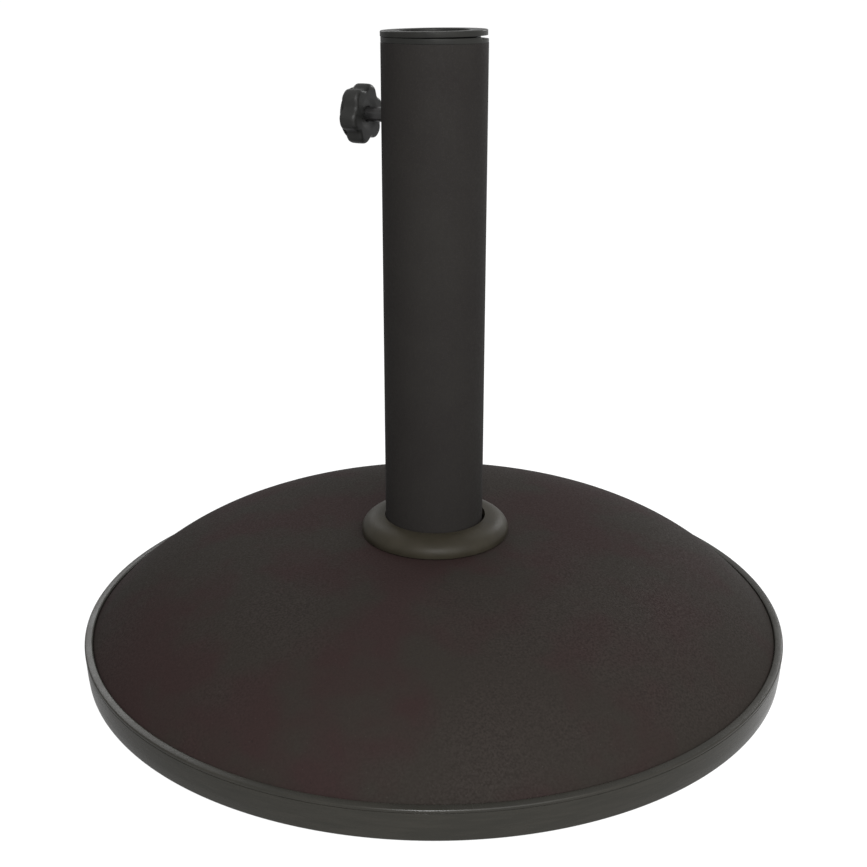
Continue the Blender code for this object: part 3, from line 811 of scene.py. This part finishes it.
def build_knob():
    """The six-lobed knob: a shallow dish round the stud on its back, rounded lobes, and a domed face."""
    back_edge = 0.0028
    front_edge = 0.0028
    crown = 0.0001
    pocket = STUD_RADIUS + GAP
    lead = pocket + 0.0003
    dish = 0.0115
    dish_depth = 0.0007
    steps = 240
    slope_rows = 8
    flat_rows = 7
    arc_rows = 12
    side_rows = 8
    rows = [("round", pocket, STUD_END + GAP), ("round", pocket, KNOB_BACK + dish_depth + 0.0003),
            ("round", lead, KNOB_BACK + dish_depth)]
    for k in range(1, slope_rows + 1):
        share = k / slope_rows
        rows.append(("round", lead + (dish - lead) * share,
                     KNOB_BACK + dish_depth * (0.5 + 0.5 * math.cos(math.pi * share))))
    for k in range(1, flat_rows):
        rows.append(("back", k / flat_rows, KNOB_BACK))
    arc = [0.5 * math.pi * k / arc_rows for k in range(arc_rows + 1)]
    for angle in arc:
        rows.append(("edge", back_edge * (1.0 - math.sin(angle)) + crown,
                     KNOB_BACK + back_edge * (1.0 - math.cos(angle))))
    low = KNOB_BACK + back_edge
    high = KNOB_FRONT - front_edge
    for k in range(1, side_rows):
        share = k / side_rows
        rows.append(("edge", crown * (2.0 * share - 1.0) ** 2, low + (high - low) * share))
    for angle in arc:
        rows.append(("edge", front_edge * (1.0 - math.cos(angle)) + crown,
                     high + front_edge * math.sin(angle)))
    rows.append(("round", 0.004, KNOB_FRONT))

    def ring_radius(kind, value, angle):
        edge = lobe_radius(angle) - crown
        if kind == "edge":
            return lobe_radius(angle) - value
        if kind == "back":
            return dish + (edge - back_edge - dish) * value
        return value

    shape = bmesh.new()
    rings = [[shape.verts.new((0.0, 0.0, STUD_END + GAP))] * steps]
    for kind, value, height in rows:
        ring = []
        for k in range(steps):
            angle = math.tau * k / steps
            radius = ring_radius(kind, value, angle)
            ring.append(shape.verts.new((radius * math.cos(angle), radius * math.sin(angle), height)))
        rings.append(ring)
    rings.append([shape.verts.new((0.0, 0.0, KNOB_FRONT))] * steps)
    for near, far in zip(rings, rings[1:]):
        for k in range(steps):
            j = (k + 1) % steps
            corners = [near[k], far[k], far[j], near[j]]
            shape.faces.new([v for n, v in enumerate(corners) if v not in corners[:n]])
    knob = mesh_object("star_knob", shape)

    sphere = (CAP_RADIUS ** 2 + CAP_RISE ** 2) / (2.0 * CAP_RISE)
    groove_radius = 0.0122
    groove_width = 0.00035
    groove_depth = 0.00025
    cap_low = KNOB_FRONT - 0.0010
    face = [(0.0, KNOB_FRONT + CAP_RISE)]
    count = 64
    for k in range(1, count + 1):
        radius = (CAP_RADIUS - 0.0008) * k / count
        ring = groove_depth * math.exp(-((radius - groove_radius) / groove_width) ** 2)
        face.append((radius, KNOB_FRONT + CAP_RISE - ring - sphere + math.sqrt(sphere ** 2 - radius ** 2)))
    edge = rounded([
        (*face[-1], 0.0), (CAP_RADIUS, KNOB_FRONT, 0.0006), (CAP_RADIUS - 0.0003, cap_low, 0.0),
        (0.0, cap_low, 0.0),
    ], closed=False)
    cut(knob, lathe("cap", face + edge[1:], 192, closed=False), "UNION")
    piece(on_clamp(knob), "clamp_screw", KNOB, "knob_plastic", "clamp_knob")


build_weight()
build_tray()
build_feet()
build_socket()
build_tube()
build_bolt()
build_collar()
build_mouth()
build_clamp_nut()
build_clamp_screw()
build_knob()


# ---- Floor, light and camera ----

def glow(tree, coordinates, stretch, strengths, seen):
    """A strength that grows along +X over a stretch for light and reflections, and is even to look at."""
    axes = tree.nodes.new("ShaderNodeSeparateXYZ")
    tree.links.new(tree.nodes.new("ShaderNodeTexCoord").outputs[coordinates], axes.inputs["Vector"])
    growth = tree.nodes.new("ShaderNodeMapRange")
    for socket, number in zip(growth.inputs[1:5], (*stretch, *strengths)):
        socket.default_value = number
    tree.links.new(axes.outputs["X"], growth.inputs["Value"])
    strength = tree.nodes.new("ShaderNodeMapRange")
    tree.links.new(tree.nodes.new("ShaderNodeLightPath").outputs["Is Camera Ray"], strength.inputs["Value"])
    tree.links.new(growth.outputs["Result"], strength.inputs["To Min"])
    strength.inputs["To Max"].default_value = seen
    return strength.outputs["Result"]


def build_stage():
    """A plain pale floor under a pale sky. Both look even, and shine less on the object from the left."""
    half_width = 60.0
    shape = bmesh.new()
    bmesh.ops.create_grid(shape, x_segments=8, y_segments=8, size=half_width)
    floor = mesh_object("studio_floor", shape)
    paper = bpy.data.materials.new("studio_paper")
    paper.use_nodes = True
    shader = paper.node_tree.nodes["Principled BSDF"]
    shader.inputs["Base Color"].default_value = (0.20, 0.20, 0.20, 1.0)
    shader.inputs["Roughness"].default_value = 1.0
    shader.inputs["Specular IOR Level"].default_value = 0.0
    shader.inputs["Emission Color"].default_value = (1.0, 1.0, 1.0, 1.0)
    shine = glow(paper.node_tree, "Object", (-0.27, -0.12), (0.26, 0.73), 0.865)
    paper.node_tree.links.new(shine, shader.inputs["Emission Strength"])
    floor.data.materials.append(paper)

    world = bpy.data.worlds.new("studio_sky")
    world.use_nodes = True
    sky = world.node_tree.nodes["Background"]
    sky.inputs["Color"].default_value = (1.0, 1.0, 1.0, 1.0)
    shine = glow(world.node_tree, "Generated", (-1.0, 1.0), (0.54, 0.94), 1.01)
    world.node_tree.links.new(shine, sky.inputs["Strength"])
    bpy.context.scene.world = world
    bpy.context.scene.view_settings.view_transform = "Standard"


def softbox(name, place, target, size, power):
    """A square area light that faces a point."""
    data = bpy.data.lights.new(name, "AREA")
    data.shape = "SQUARE"
    data.size = size
    data.energy = power
    light = bpy.data.objects.new(name, data)
    light.location = place
    light.rotation_mode = "QUATERNION"
    light.rotation_quaternion = (Vector(target) - Vector(place)).to_track_quat("-Z", "Y")
    bpy.context.scene.collection.objects.link(light)


def build_camera():
    """The camera: in front of the object, looking down on it."""
    place = (0.0, -0.865, 0.4662)
    pitch = math.radians(19.58)
    roll = math.radians(0.08)
    data = bpy.data.cameras.new("camera")
    data.sensor_width = 36.0
    data.lens = 53.52
    data.shift_x = -0.0007
    data.clip_end = 200.0
    camera = bpy.data.objects.new("camera", data)
    camera.location = place
    turn = Matrix.Rotation(math.radians(90.0) - pitch, 4, "X") @ Matrix.Rotation(roll, 4, "Z")
    camera.rotation_mode = "QUATERNION"
    camera.rotation_quaternion = turn.to_quaternion()
    bpy.context.scene.collection.objects.link(camera)
    bpy.context.scene.camera = camera


build_stage()
softbox("key_light", (0.60, -1.80, 1.35), (0.0, 0.0, 0.15), 1.7, 40.0)
softbox("front_accent", (-0.04, -1.8, 1.35), (0.0, 0.0, 0.1), 0.24, 26.0)
softbox("back_left_light", (-0.84, 1.91, 1.22), (-0.235, -0.085, 0.024), 0.45, 4.8)
softbox("back_right_light", (1.15, 1.60, 0.95), (0.15, 0.0, 0.06), 0.45, 8.0)
build_camera()
